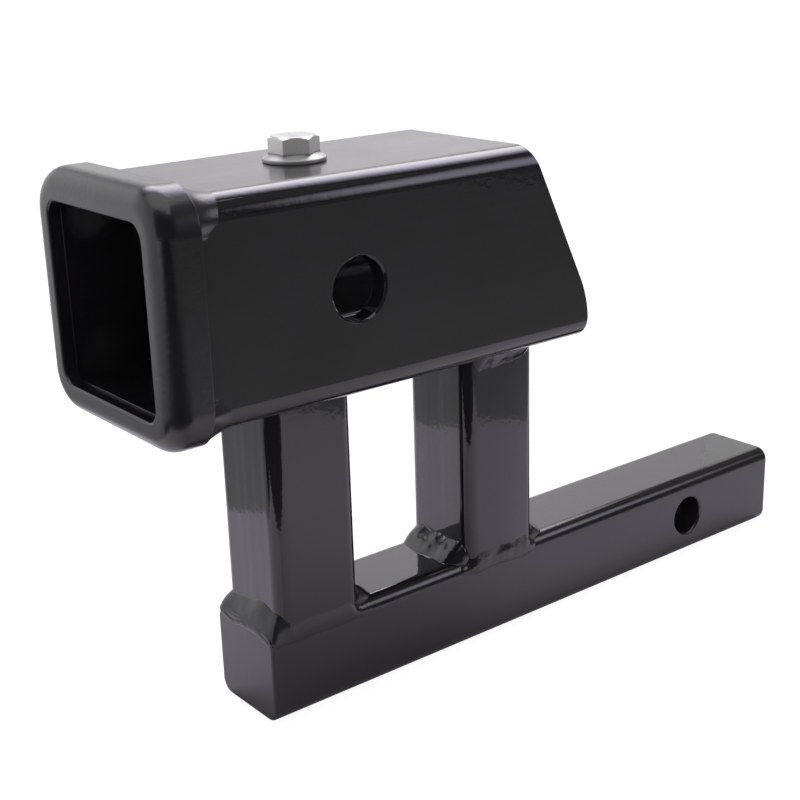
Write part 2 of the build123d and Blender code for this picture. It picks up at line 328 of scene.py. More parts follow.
def coat_material(name, coat, roughness, drawn, pits, film):
    """Glossy black coat: orange peel, cloudy gloss, drawing lines, paler bands of painted sheen, pits and a
    film on top.
    """
    material, graph, shader = new_material(name)
    place = graph.add("ShaderNodeTexCoord", out="Object")
    peel = graph.noise(place, 1 / coat.peel_width, 1.0)
    fine = graph.noise(place, 2.7 / coat.peel_width, 1.0)
    swell = graph.noise(place, 0.22 / coat.peel_width, 1.0)
    cloud = graph.noise(place, 31.0, 3.0)
    relief = (0.62 * peel + 0.1 * fine + 1.1 * swell) * coat.peel_height
    gloss = roughness * (0.75 + 0.5 * cloud)
    shade = cloud.ramp(0.3, 0.7)
    if drawn:
        across = 1 / coat.streak_width
        factors = [7.0 if axis == drawn else across for axis in "xyz"]
        streak = graph.noise(graph.stretch(place, factors), 1.0, 2.0)
        relief = relief + streak * coat.streak_height
        gloss = gloss + 0.07 * (streak - 0.5)
        shade = 0.6 * shade + 0.4 * streak.ramp(0.35, 0.65)
    if film:
        height = graph.add("ShaderNodeSeparateXYZ", {}, {0: place}, out="Z")
        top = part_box("receiver_tube")[1][2]
        gloss = gloss + film * height.ramp(top - 0.5 * MM, top - 0.05 * MM) * (0.8 + 0.4 * cloud)
    if pits:
        relief = relief + graph.noise(place, 640.0, 2.0).ramp(0.3, 0.55) * pits
    graph.feed(shader.inputs["Normal"], graph.bump(relief, 1.0))
    tone = graph.mix_colour(shade, opaque(coat.colour, 0.8), opaque(coat.colour, 1.25))
    # Painted sheen: paler lavender-grey bands on the posts, in place of streaky reflections.
    if drawn == "z":
        sheen_band = graph.noise(graph.stretch(place, (40.0, 1 / coat.sheen_band_width, 4.0)), 1.0, 0.6)
        tone = graph.mix_colour(sheen_band.ramp(0.4, 0.75), tone, opaque(coat.sheen_band_colour))
    graph.feed(shader.inputs["Base Color"], tone)
    graph.feed(shader.inputs["Roughness"], gloss)
    shader.inputs["IOR"].default_value = 1.75
    return material


# Where the painted highlight on the wrench flats starts and ends, below the bolt's top
FLATS_HIGHLIGHT_START = (0.22 * MM, 0.4 * MM)
FLATS_HIGHLIGHT_END = (4.4 * MM, 5.0 * MM)


def bright_material(name, bolt):
    """Bright plated steel: wrench flats painted paler as a highlight, faint turning marks, cloudy gloss and a
    few darker specks.
    """
    material, graph, shader = new_material(name)
    place = graph.add("ShaderNodeTexCoord", out="Object")
    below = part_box("anti_rattle_bolt")[1][2] - graph.add("ShaderNodeSeparateXYZ", {}, {0: place}, out="Z")
    # Painted highlight: the crown cone and the upper part of the flats get the paler colours.
    flats = below.ramp(*FLATS_HIGHLIGHT_START) * (1.0 - below.ramp(*FLATS_HIGHLIGHT_END))
    grain = graph.noise(graph.stretch(place, (300.0, 300.0, 5200.0)), 1.0, 2.0)
    cloud = graph.noise(place, 240.0, 3.0)
    speck = graph.noise(place, 1500.0, 1.0).ramp(0.68, 0.76)
    dull = graph.mix_colour(cloud, opaque(bolt.plate_dark), opaque(bolt.plate_light))
    # pale is the painted highlight colour of the flats.
    pale = graph.mix_colour(cloud, opaque(bolt.flats_highlight_dark), opaque(bolt.flats_highlight_light))
    tint = graph.mix_colour(flats, dull, pale)
    graph.feed(shader.inputs["Base Color"], graph.mix_colour(speck * 0.2, tint, (0.32, 0.31, 0.3, 1.0)))
    graph.feed(shader.inputs["Roughness"], 0.27 + 0.12 * cloud + 0.05 * grain)
    graph.feed(shader.inputs["Normal"], graph.bump(grain + 0.6 * cloud, 0.002 * MM))
    shader.inputs["Metallic"].default_value = 0.6
    return material


def kept(name, make, *values):
    """The material of that name, made the first time it is asked for."""
    found = bpy.data.materials.get(name)
    return found if found else make(name, *values)


def black_coat(settings, kind):
    """The black coat on a bar drawn along x or z, on the tube, on the collar or on a weld."""
    coat = settings.coat
    roughness, drawn, pits, film = {
        "drawn_x": (coat.roughness, "x", 0.0, 0.0),
        "drawn_z": (coat.roughness, "z", 0.0, 0.0),
        "on_tube": (coat.roughness, "x", 0.0, coat.top_film),
        "on_collar": (coat.cast_roughness, "", coat.collar_pits, 0.0),
        "on_weld": (coat.weld_roughness, "", coat.weld_pits, 0.0),
    }[kind]
    return kept(f"black_coat_{kind}", coat_material, coat, roughness, drawn, pits, film)


def bright_steel(bolt):
    return kept("bright_plated_steel", bright_material, bolt)


def as_object(name, mesh, material=None):
    """A scene object for the mesh, with the material on all of it."""
    piece = bpy.data.objects.new(name, mesh)
    bpy.context.scene.collection.objects.link(piece)
    if material:
        mesh.materials.clear()
        mesh.materials.append(material)
    return piece


def settle(piece, body, slot, *nodes):
    """Let a finished piece ride on its body in place of its CAD nodes."""
    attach(piece, body)
    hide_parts(*nodes)


def soften(piece, width, angle):
    """Round the sharp edges of a piece and keep its flats flat in the shading."""
    for face in piece.data.polygons:
        face.use_smooth = True
    bevel = piece.modifiers.new("Edge Round", "BEVEL")
    bevel.limit_method = "ANGLE"
    bevel.angle_limit = angle
    bevel.width = width
    bevel.segments = 3
    bevel.harden_normals = True
    weigh = piece.modifiers.new("Flat Shading", "WEIGHTED_NORMAL")
    weigh.keep_sharp = True
    piece.data = baked(piece)
    piece.modifiers.clear()


def baked(piece):
    """The piece's mesh with its modifiers worked in."""
    graph = bpy.context.evaluated_depsgraph_get()
    mesh = bpy.data.meshes.new_from_object(piece.evaluated_get(graph), depsgraph=graph)
    mesh.name = piece.name
    return mesh


def closed_mesh(name, form):
    """The bmesh as a mesh, with its faces pointing outwards."""
    bmesh.ops.recalc_face_normals(form, faces=form.faces)
    mesh = bpy.data.meshes.new(name)
    form.to_mesh(mesh)
    form.free()
    return mesh


def welded_copy(node):
    """A copy of a CAD node's mesh with its vertices joined and its flat faces whole."""
    form = bmesh.new()
    form.from_mesh(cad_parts[node].data)
    bmesh.ops.remove_doubles(form, verts=form.verts, dist=0.002 * MM)
    bmesh.ops.dissolve_limit(
        form, angle_limit=radians(0.2), verts=form.verts, edges=form.edges, use_dissolve_boundaries=False
    )
    return closed_mesh(node, form)


def round_heel(mesh, radius):
    """Round the edges between the tube's slanted end and its square heel."""
    form = bmesh.new()
    form.from_mesh(mesh)
    heel = max(vertex.co.x for vertex in form.verts)
    near = 0.01 * MM
    edges = []
    for edge in form.edges:
        first, second = (vertex.co for vertex in edge.verts)
        crossing = abs(first.x - second.x) < near and abs(first.z - second.z) < near
        if crossing and abs(first.x - heel) < near and edge.calc_face_angle(0.0) > radians(15):
            sides = [face.normal.x for face in edge.link_faces]
            if min(sides) > 0.5:
                edges.append(edge)
    bmesh.ops.bevel(
        form, geom=edges, offset=radius, offset_type="OFFSET", segments=6, profile=0.5, affect="EDGES"
    )
    form.to_mesh(mesh)
    form.free()


def skin(form, rings, closed=False):
    """Faces through rings of points, capped at both ends or closed into a tube; one point makes a pole."""
    rows = [[form.verts.new(point) for point in ring] for ring in rings]
    for first, second in zip(rows, rows[1:] + rows[:1] if closed else rows[1:]):
        count = max(len(first), len(second))
        for index in range(count):
            after = (index + 1) % count
            corners = [first[index % len(first)], first[after % len(first)]]
            corners += [second[after % len(second)], second[index % len(second)]]
            form.faces.new(list(dict.fromkeys(corners)))
    if not closed:
        for row in (rows[0], rows[-1]):
            if len(row) > 1:
                form.faces.new(row)


def ring_mesh(name, rings, closed=False):
    """A mesh through rings of points."""
    form = bmesh.new()
    skin(form, rings, closed)
    return closed_mesh(name, form)


def steps(low, high, count):
    """Evenly spaced numbers from low to high."""
    return [low + (high - low) * index / (count - 1) for index in range(count)]


def along(points, place):
    """Value at a place on a line of (place, value) points, smooth between them and level past its ends."""
    if place <= points[0][0]:
        return points[0][1]
    for (first, low), (second, high) in zip(points, points[1:]):
        if place <= second:
            turn = (place - first) / (second - first)
            turn = turn * turn * (3 - 2 * turn)
            return low + (high - low) * turn
    return points[-1][1]


def wander(place, seed):
    """Smooth unevenness from about minus one to one along a run, with a wave of about one per unit."""
    return 2 * noise.noise(Vector((place, seed * 7.13, 0.37)))


def new_tree(name, labels):
    """The graph of a new geometry nodes tree, and by name its inputs: these numbers and a material."""
    tree = bpy.data.node_groups.new(name, "GeometryNodeTree")
    tree.interface.new_socket("Geometry", in_out="INPUT", socket_type="NodeSocketGeometry")
    for label in labels:
        tree.interface.new_socket(label, in_out="INPUT", socket_type="NodeSocketFloat")
    tree.interface.new_socket("Material", in_out="INPUT", socket_type="NodeSocketMaterial")
    tree.interface.new_socket("Geometry", in_out="OUTPUT", socket_type="NodeSocketGeometry")
    graph = Graph(tree)
    given = tree.nodes.new("NodeGroupInput")
    return graph, {socket.name: Term(graph, socket) for socket in given.outputs}


def end_tree(graph, geometry, material):
    """End a tree: its instances made real and its material set."""
    real = graph.add("GeometryNodeRealizeInstances", {}, {"Geometry": geometry})
    done = graph.add("GeometryNodeSetMaterial", {}, {"Geometry": real, "Material": material})
    graph.add("NodeGroupOutput", {}, {"Geometry": done})
    return graph.tree


def weld_tree():
    """Geometry nodes that put ripples and lumps on a run, strongest in the middle of its face."""
    found = bpy.data.node_groups.get("weld_ripples")
    if found:
        return found
    labels = ("Ripple Pitch", "Ripple Height", "Lump Size", "Lump Height", "Seed")
    graph, value = new_tree("weld_ripples", labels)
    run = graph.add("GeometryNodeInputNamedAttribute", {"data_type": "FLOAT"}, {"Name": "run"})
    face = graph.add("GeometryNodeInputNamedAttribute", {"data_type": "FLOAT"}, {"Name": "face"})
    place = graph.add("GeometryNodeInputPosition")
    middle = (face * pi).sine().at_least(0.0)
    bow = (face - 0.5) * (face - 0.5) * 4.0
    lump = graph.add(
        "ShaderNodeTexNoise",
        {"noise_dimensions": "4D"},
        {"Vector": place, "W": value["Seed"], "Scale": 1.0 / value["Lump Size"], "Detail": 1.0},
    )
    phase = run / value["Ripple Pitch"] + bow * 0.45 + lump * 0.6
    ripple = graph.math("ABSOLUTE", (phase * pi).sine()) - 0.6
    rise = middle * (ripple * value["Ripple Height"] + (lump - 0.5) * 2.0 * value["Lump Height"])
    normal = graph.add("GeometryNodeInputNormal")
    offset = graph.add("ShaderNodeVectorMath", {"operation": "SCALE"}, {0: normal, "Scale": rise})
    moved = graph.add("GeometryNodeSetPosition", {}, {"Geometry": value["Geometry"], "Offset": offset})
    smooth = graph.add("GeometryNodeSetShadeSmooth", {}, {0: moved, "Shade Smooth": True})
    return end_tree(graph, smooth, value["Material"])


def socket_of(tree, label):
    """Identifier of a group's input, by its name."""
    for item in tree.interface.items_tree:
        if item.in_out == "INPUT" and item.name == label:
            return item.identifier
    raise ValueError(f"no input named {label}")


def through_nodes(piece, tree, values):
    """Run a piece through a geometry nodes tree with these inputs and keep the result as its mesh."""
    modifier = piece.modifiers.new(tree.name, "NODES")
    modifier.node_group = tree
    for label, value in values.items():
        modifier[socket_of(tree, label)] = value
    piece.data = baked(piece)
    piece.modifiers.clear()


def weld_piece(settings, node, rings, places, faces, strength, coat=None):
    """One weld run from its rings: places along the run and shares across its face drive the ripples."""
    weld = settings.weld
    mesh = ring_mesh(node, rings)
    run = mesh.attributes.new("run", "FLOAT", "POINT")
    run.data.foreach_set("value", [place for place in places for _ in faces])
    face = mesh.attributes.new("face", "FLOAT", "POINT")
    face.data.foreach_set("value", list(faces) * len(places))
    piece = as_object(f"{node}_run", mesh)
    through_nodes(
        piece,
        weld_tree(),
        {
            "Ripple Pitch": weld.ripple_pitch,
            "Ripple Height": weld.ripple_height * strength,
            "Lump Size": weld.lump_size,
            "Lump Height": weld.lump_height * strength,
            "Seed": float(weld.seed),
            "Material": coat or black_coat(settings, "on_weld"),
        },
    )
    settle(piece, STEEL_BODY, COAT_SLOT, node)


FACE_COUNT = 21
RUN_STEP = 0.5 * MM
# How strong the ripples and lumps of each kind of run are
RIPPLES = {
    "nose": 0.35,
    "foot_front": 0.5,
    "foot_rear": 0.2,
    "head": 0.5,
    "deep_head": 0.12,
    "front_post_side": 0.16,
    "rear_post_side": 0.6,
    "collar": 0.05,
}


def face_shares(roots):
    """Shares across a run's face, then nothing for each of its root points."""
    return steps(0.0, 1.0, FACE_COUNT) + [0.0] * roots


def end_round(place, half, reach):
    """One along a run's middle, falling to nothing in a quarter ellipse at its ends."""
    past = (abs(place) - (half - reach)) / reach
    return 1.0 if past <= 0 else sqrt(max(0.0, 1 - past * past))


def fillet_run(settings, node, origin, out, up, legs, half, seed, strength, lean=0.0, coat=None):
    """A straight run in the corner at origin, with one leg out over one member and one up the other."""
    weld = settings.weld
    direction = out.cross(up)
    places = steps(-half, half, ceil(2 * half / RUN_STEP))
    sunk = 0.15 * MM
    rings = []
    for place in places:
        scale = 0.12 + 0.88 * end_round(place, half, 0.35 * half)
        reach = legs[0] * scale * (1 + 0.08 * wander(place / (6 * MM), seed))
        rise = legs[1] * scale * (1 + 0.08 * wander(place / (5 * MM), seed + 3) + lean * place / half)
        ring = []
        for turn in steps(0.0, 1.0, FACE_COUNT):
            swell = 4 * turn * (1 - turn) * weld.bulge * scale
            ring.append((reach * (1 - turn) - sunk + 0.7 * swell, rise * turn - sunk + 0.7 * swell))
        ring += [(-weld.root, rise * 0.6), (-weld.root, -weld.root), (reach * 0.6, -weld.root)]
        rings.append([origin + out * a + up * b + direction * place for a, b in ring])
    weld_piece(settings, node, rings, places, face_shares(3), strength, coat)


class HITCH_OT_members(bpy.types.Operator):
    """Put the black coat on the bars and the tube, with softly rounded edges"""

    bl_idname = "hitch.members"
    bl_label = "Coat Bars and Tube"

    def execute(self, context):
        settings = context.scene.hitch_adapter
        for node in ("shank_bar", "receiver_tube", *POSTS):
            kind = "drawn_z" if node in POSTS else "drawn_x"
            mesh = welded_copy(node)
            if node == "receiver_tube":
                round_heel(mesh, settings.coat.heel_round)
                kind = "on_tube"
            piece = as_object(f"{node}_coated", mesh, black_coat(settings, kind))
            soften(piece, width=settings.coat.edge_round, angle=radians(38))
            settle(piece, STEEL_BODY, COAT_SLOT, node)
        return {"FINISHED"}


def rounded_square(width, height, radius, corner_steps):
    """Points of a rounded rectangle about the origin, as (across, up), counter-clockwise."""
    points = []
    for quarter in range(4):
        start = quarter * pi / 2
        centre_y = (width / 2 - radius) * (1 if quarter in (0, 3) else -1)
        centre_z = (height / 2 - radius) * (1 if quarter in (0, 1) else -1)
        for turn in steps(start, start + pi / 2, corner_steps):
            points.append((centre_y + radius * cos(turn), centre_z + radius * sin(turn)))
    return points


class HITCH_OT_collar(bpy.types.Operator):
    """Build the thick rounded ring round the tube's mouth"""

    bl_idname = "hitch.collar"
    bl_label = "Build Mouth Collar"

    def execute(self, context):
        settings = context.scene.hitch_adapter
        collar = settings.collar
        low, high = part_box("mouth_collar")
        tube_low, tube_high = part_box("receiver_tube")
        axis = (tube_low[2] + tube_high[2]) / 2
        size = high[1] - low[1]
        socket = tube_high[1] - tube_low[1] + 2 * collar.socket_gap
        rings = []

        def ring(x, width, radius):
            rings.append([(x, y, axis + z) for y, z in rounded_square(width, width, radius, 13)])

        for turn in steps(0.0, pi / 2, 6):
            inward = collar.back_break * (1 - sin(turn))
            x = high[0] - collar.back_break * (1 - cos(turn))
            ring(x, size - 2 * inward, collar.corner_radius - inward)
        for turn in steps(0.0, pi / 2, 13):
            inward = collar.front_round * (1 - cos(turn))
            x = low[0] + collar.front_round * (1 - sin(turn))
            ring(x, size - 2 * inward, collar.corner_radius - inward)
        for turn in steps(0.0, pi / 2, 7):
            outward = collar.mouth_round * (1 - sin(turn))
            x = low[0] + collar.mouth_round * (1 - cos(turn))
            ring(x, collar.opening + 2 * outward, collar.opening_radius + outward)
        ring(low[0] + collar.lip, collar.opening, collar.opening_radius)
        ring(low[0] + collar.lip, socket, collar.tube_radius + collar.socket_gap)
        ring(high[0], socket, collar.tube_radius + collar.socket_gap)
        mesh = ring_mesh("mouth_collar", rings, True)
        piece = as_object("mouth_collar_coated", mesh, black_coat(settings, "on_collar"))
        soften(piece, width=0.15 * MM, angle=radians(50))
        settle(piece, STEEL_BODY, COAT_SLOT, "mouth_collar")
        return {"FINISHED"}


# How far a side run goes before and behind its post, and how many times the side bulge it has
SIDE_RUNS = {"front_post": (1.0 * MM, 5.3 * MM, 1.0), "rear_post": (3.4 * MM, 1.2 * MM, 1.8)}


def side_run(settings, post, side, seed):
    """The nearly flush run on a post's side, which wraps over the shank's rounded edge past the post."""
    weld = settings.weld
    before, behind, fullness = SIDE_RUNS[post]
    bulge = fullness * weld.side_bulge
    low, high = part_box(post)
    _, shank_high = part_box("shank_bar")
    top = shank_high[2]
    flat = shank_high[1]
    start = low[0] - before
    end = high[0] + behind
    middle = (start + end) / 2
    half = (end - start) / 2
    edge = settings.coat.bar_radius
    past = 0.5 * MM
    tail = 7 * MM
    sunk = 0.12 * MM
    thin = 0.3 * MM
    ends = ((low[0] - past, 1.0), (low[0] + edge, 0.0), (high[0] - edge, 0.0), (high[0] + past, 1.0))
    places = steps(start, end, ceil((end - start) / RUN_STEP))
    rings = []
    for place in places:
        swell = end_round(place - middle, half, tail)
        over = along(ends, place)
        drop = weld.side_low * (0.35 + 0.65 * swell) * (1 + 0.08 * wander(place / (9 * MM), seed))
        rise = weld.side_high * (1 + 0.16 * wander(place / (7 * MM), seed + 2))
        ring = []
        for turn in steps(0.0, 1.0, FACE_COUNT):
            bow = 6.75 * turn * (1 - turn) ** 2 * bulge
            flush = (flat - sunk + bow, top - drop + (drop + rise) * turn)
            angle = -0.15 + (pi / 2 + 0.3) * turn
            radius = edge - sunk + bow * swell - thin * (1 - swell)
            wrapped = (flat - edge + radius * cos(angle), top - edge + radius * sin(angle))
            ring.append([first + (second - first) * over for first, second in zip(flush, wrapped)])
        inner = flat - 1.4 * edge
        ring += [(inner, top + rise * 0.6 * (1 - over) - 0.6 * MM), (inner, top - 1.3 * edge)]
        rings.append([Vector((place, side * y, z)) for y, z in ring])
    name = f"{post}_foot_{'left' if side > 0 else 'right'}_weld"
    weld_piece(settings, name, rings, places, face_shares(2), RIPPLES[f"{post}_side"])


# Height of the nose run's top and of its toe over y, in millimetres
NOSE_TOP = ((-14.4, 17.0), (-11.8, 20.4), (-5.2, 22.2), (2.7, 20.3), (12.0, 19.2), (14.2, 16.6))
NOSE_TOE = ((-14.4, 10.2), (-13.8, 10.3), (-6.6, 12.2), (1.8, 12.0), (6.5, 10.8), (13.9, 12.7), (14.2, 12.9))


def nose_path(face, half, edge):
    """Rows along the nose run: place, y in the tables, origin, outward direction and reach over the shank."""
    flat = half - edge
    bend = radians(78)
    bend_run = 8 * MM
    bend_width = 3.7 * MM
    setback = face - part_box("shank_bar")[0][0]
    rows = []
    for side in (-1, 1):
        for share_round in steps(1.0, 0.0, 15)[:-1]:
            angle = bend * share_round
            out = Vector((-cos(angle), side * sin(angle), 0))
            reach = min((edge + setback) / cos(angle), edge / sin(angle) + 0.2 * MM) - edge
            centre = Vector((face + edge, side * flat, 0))
            place = side * (flat + bend_run * share_round)
            y = side * (flat + bend_width * share_round)
            rows.append((place, y, centre + out * edge, out, min(reach, 1.1 * setback)))
    for y in steps(-flat, flat, 44):
        rows.append((y, y, Vector((face, y, 0)), Vector((-1, 0, 0)), setback))
    return sorted(rows, key=lambda row: row[0])


def nose_run(settings):
    """The run that fills the step before the front post, laps over the shank's end and turns the corners."""
    low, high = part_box("front_post")
    half = high[1]
    edge = settings.coat.bar_radius
    path = nose_path(low[0], half, edge)
    up = Vector((0, 0, 1))
    lap = 1.3 * MM
    lap_share = 0.25
    undercut = 0.35 * MM
    rings = []
    for _, y, origin, out, reach in path:
        crest = along(NOSE_TOP, y / MM) * MM
        toe = along(NOSE_TOE, y / MM) * MM
        proud = 0.25 * MM * min(1.0, reach / (3 * MM))
        ring = []
        for turn in steps(0.0, 1.0, FACE_COUNT):
            if turn < lap_share:
                angle = turn / lap_share * pi / 2
                away = reach - undercut + (undercut + proud) * sin(angle)
                height = toe + lap * (1 - cos(angle))
            else:
                climb = (turn - lap_share) / (1 - lap_share)
                bow = 4 * climb * (1 - climb) * 0.45 * MM
                away = (reach + proud) * (1 - climb) - 0.15 * MM * climb + bow
                height = toe + lap + (crest - toe - lap) * climb + 0.4 * bow
            ring.append((away, height))
        ring += [(-3 * MM, crest - 0.4 * MM), (-3 * MM, toe - 1 * MM), (reach - 0.8 * MM, toe - 0.8 * MM)]
        rings.append([origin + out * away + up * height for away, height in ring])
    places = [row[0] for row in path]
    coat = black_coat(settings, "on_collar")
    weld_piece(settings, "front_post_foot_front_weld", rings, places, face_shares(3), RIPPLES["nose"], coat)


DEEP_HEADS = ("rear_post_head_right_weld", "rear_post_head_left_weld")


class HITCH_OT_post_welds(bpy.types.Operator):
    """Lay the weld runs round the foot and the head of both posts"""

    bl_idname = "hitch.post_welds"
    bl_label = "Lay Post Welds"

    def execute(self, context):
        settings = context.scene.hitch_adapter
        weld = settings.weld
        nose_run(settings)
        up = Vector((0, 0, 1))
        sides = {
            "front": Vector((-1, 0, 0)),
            "rear": Vector((1, 0, 0)),
            "left": Vector((0, 1, 0)),
            "right": Vector((0, -1, 0)),
        }
        for number, post in enumerate(POSTS):
            low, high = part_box(post)
            middle = (Vector(low) + Vector(high)) / 2
            half = (high[1] - low[1]) / 2
            for order, (name, out) in enumerate(sides.items()):
                seat = middle + out * half
                seed = 10 * number + order
                foot = f"{post}_foot_{name}_weld"
                if name in ("front", "rear") and foot != "front_post_foot_front_weld":
                    seat.z = low[2]
                    legs = (weld.foot_out, weld.foot_up)
                    strength = RIPPLES[f"foot_{name}"]
                    coat = black_coat(settings, "on_collar") if name == "rear" else None
                    fillet_run(settings, foot, seat, out, up, legs, weld.foot_half, seed, strength, coat=coat)
                seat.z = high[2]
                head = f"{post}_head_{name}_weld"
                deep = head in DEEP_HEADS
                legs = (weld.head_out, weld.deep_down if deep else weld.head_down)
                lean = out.y * weld.deep_lean if deep else 0.0
                strength = RIPPLES["deep_head" if deep else "head"]
                fillet_run(settings, head, seat, out, -up, legs, weld.head_half, seed + 5, strength, lean)
        for side, seed in ((-1, 31), (1, 37)):
            for number, post in enumerate(POSTS):
                side_run(settings, post, side, seed + number)
        return {"FINISHED"}


# How a collar run grows from the tip of its tongue
TONGUE = ((0.0, 0.05), (2 * MM, 0.45), (6 * MM, 0.8), (12 * MM, 1.0))


def collar_run(settings, name, sign):
    """The hollow run behind the collar along the tube's top or bottom, with a tongue down each side."""
    collar = settings.collar
    _, ring_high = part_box("mouth_collar")
    tube_low, tube_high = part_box("receiver_tube")
    half = tube_high[1]
    radius = collar.tube_radius
    edge = tube_high[2] if sign > 0 else tube_low[2]
    below_ring = 0.55 * MM
    rise_flat = ring_high[1] - half - below_ring
    rise_corner = 2.05 * MM
    root = 1.0 * MM
    sunk = 0.6 * MM
    back = ring_high[0]
    wrap = collar.bead_wrap
    corner = radius * pi / 2
    span = 2 * (half - radius)
    total = 2 * corner + span
    path = [(place, (-half, radius - place), (-1, 0)) for place in steps(-wrap, 0.0, 14)[:-1]]
    for turn in steps(0.0, 1.0, 20)[:-1]:
        away, up = cos(pi - turn * pi / 2), sin(pi - turn * pi / 2)
        path.append((corner * turn, (radius - half + radius * away, radius - radius * up), (away, up)))
    mirrored = []
    for place, point, normal in reversed(path):
        mirrored.append((total - place, (-point[0], point[1]), (-normal[0], normal[1])))
    path += [(corner + place, (radius - half + place, 0.0), (0, 1)) for place in steps(0.0, span, 90)]
    path += mirrored
    rings = []
    places = []
    for place, point, normal in path:
        tip = min(place, total - place) + wrap
        taper = along(TONGUE, tip)
        corner_share = 4 * normal[0] ** 2 * normal[1] ** 2
        rise = (rise_flat + (rise_corner - rise_flat) * corner_share) * (0.15 + 0.85 * taper)
        leg = collar.bead_leg * taper * (1 + 0.05 * wander(place / (8 * MM), 5 + sign))
        ring = []
        for turn in steps(0.0, 1.0, FACE_COUNT):
            hollow = 4 * turn * (1 - turn) * collar.bead_hollow * taper
            out = rise * (1 - turn) - 0.12 * MM * turn - 0.7 * hollow
            back_by = leg * turn - 0.7 * hollow
            ring.append((out, back_by))
        ring += [(-root, leg * 0.5), (-root, -sunk), (rise * 0.7, -sunk)]
        row = []
        for out, back_by in ring:
            across = point[0] + normal[0] * out
            height = edge - sign * (point[1] - normal[1] * out)
            row.append(Vector((back + back_by, across, height)))
        rings.append(row)
        places.append(place)
    coat = black_coat(settings, "on_collar")
    weld_piece(settings, f"collar_{name}_weld", rings, places, face_shares(3), RIPPLES["collar"], coat)


class HITCH_OT_collar_welds(bpy.types.Operator):
    """Lay the two weld runs between the collar and the tube"""

    bl_idname = "hitch.collar_welds"
    bl_label = "Lay Collar Welds"

    def execute(self, context):
        settings = context.scene.hitch_adapter
        collar_run(settings, "top", 1)
        collar_run(settings, "bottom", -1)
        return {"FINISHED"}


def around(centre, radius, angle, height):
    """A point at this radius and angle about an upright axis."""
    return (centre[0] + radius * cos(angle), centre[1] + radius * sin(angle), height)


def turned(form, profile, centre, count):
    """Add a closed turned form from its (radius, height) profile, which starts and ends on the axis."""
    rings = []
    for radius, height in profile:
        turns = range(count) if radius else (0,)
        rings.append([around(centre, radius, 2 * pi * turn / count, height) for turn in turns])
    skin(form, rings)


def thread_tree():
    """Geometry nodes that wind a triangular ridge round the bolt's core as its thread."""
    graph, value = new_tree("bolt_thread", ("Turns", "Crest Radius", "Ridge", "Height"))
    radius = value["Crest Radius"] - value["Ridge"]
    spiral = graph.add(
        "GeometryNodeCurveSpiral",
        {},
        {
            "Resolution": 48,
            "Rotations": value["Turns"],
            "Start Radius": radius,
            "End Radius": radius,
            "Height": value["Height"],
        },
    )
    profile = graph.add("GeometryNodeCurvePrimitiveCircle", {}, {"Resolution": 3, "Radius": value["Ridge"]})
    ridge = graph.add(
        "GeometryNodeCurveToMesh", {}, {"Curve": spiral, "Profile Curve": profile, "Fill Caps": True}
    )
    both = graph.add("GeometryNodeJoinGeometry")
    join = both.socket.node.inputs[0]
    graph.tree.links.new(ridge.socket, join)
    graph.tree.links.new(value["Geometry"].socket, join)
    return end_tree(graph, both, value["Material"])


BOLT_FACETS = 96
# Share of the crown's radius and of the dish's depth at each ring of the head's top
DISH = ((1.0, 0.0), (0.78, 0.15), (0.4, 1.0))
# How far the flange's cone and the bolt's core run into the form above them
BOLT_LAP = 0.3 * MM


def bolt_hexagon(form, bolt, centre, seat):
    """The crowned hexagon with its dished top."""
    top = seat + bolt.head_height
    crown = bolt.crown / 2
    flats = bolt.across_flats / 2
    outline = []
    for index in range(BOLT_FACETS):
        angle = 2 * pi * index / BOLT_FACETS
        off = (angle + pi / 6) % (pi / 3) - pi / 6
        reach = flats / cos(off)
        brim = top - max(0.0, reach - crown) * tan(bolt.crown_slope)
        outline.append((angle + bolt.turn + pi / 6, reach, brim))
    foot = seat + 0.4 * bolt.flange_rim
    rings = [[around(centre, reach, angle, foot) for angle, reach, _ in outline]]
    rings.append([around(centre, reach, angle, brim) for angle, reach, brim in outline])
    for inside, depth in DISH:
        height = top - depth * bolt.dish
        rings.append([around(centre, inside * crown, angle, height) for angle, _, _ in outline])
    skin(form, rings)


def bolt_flange(form, bolt, centre, seat):
    """The flange: a rounded rim and a cone that rises to the hexagon."""
    rim = bolt.flange / 2
    flats = bolt.across_flats / 2
    edge = seat + bolt.flange_rim
    cone = seat + bolt.flange_height
    ease = 0.25 * MM
    profile = (
        (0, seat),
        (rim - 0.2 * MM, seat),
        (rim, seat + ease),
        (rim, edge - ease),
        (rim - ease, edge + 0.05 * MM),
        (flats + 0.5 * MM, cone - 0.15 * MM),
        (flats - 0.5 * MM, cone + BOLT_LAP),
        (0, cone + BOLT_LAP),
    )
    turned(form, profile, centre, BOLT_FACETS)


def bolt_core(form, bolt, centre, seat):
    """The shank inside the thread, with its chamfered point."""
    core = bolt.shank / 2 - bolt.thread_depth
    tip = seat - bolt.reach
    profile = (
        (0, tip),
        (core - bolt.point + bolt.thread_depth, tip),
        (core, tip + bolt.point),
        (core, seat + BOLT_LAP),
        (0, seat + BOLT_LAP),
    )
    turned(form, profile, centre, BOLT_FACETS // 2)


def bolt_thread(bolt, centre, start):
    """The thread as a piece of its own, wound upwards from its start."""
    plain_neck = 0.6 * MM
    turns = (bolt.reach - bolt.point - plain_neck) / bolt.pitch
    thread = as_object("anti_rattle_bolt_thread", bpy.data.meshes.new("thread_start"))
    through_nodes(
        thread,
        thread_tree(),
        {
            "Turns": turns,
            "Crest Radius": bolt.shank / 2,
            "Ridge": bolt.thread_depth,
            "Height": turns * bolt.pitch,
            "Material": bright_steel(bolt),
        },
    )
    thread.data.transform(Matrix.Translation((*centre, start)))
    return thread


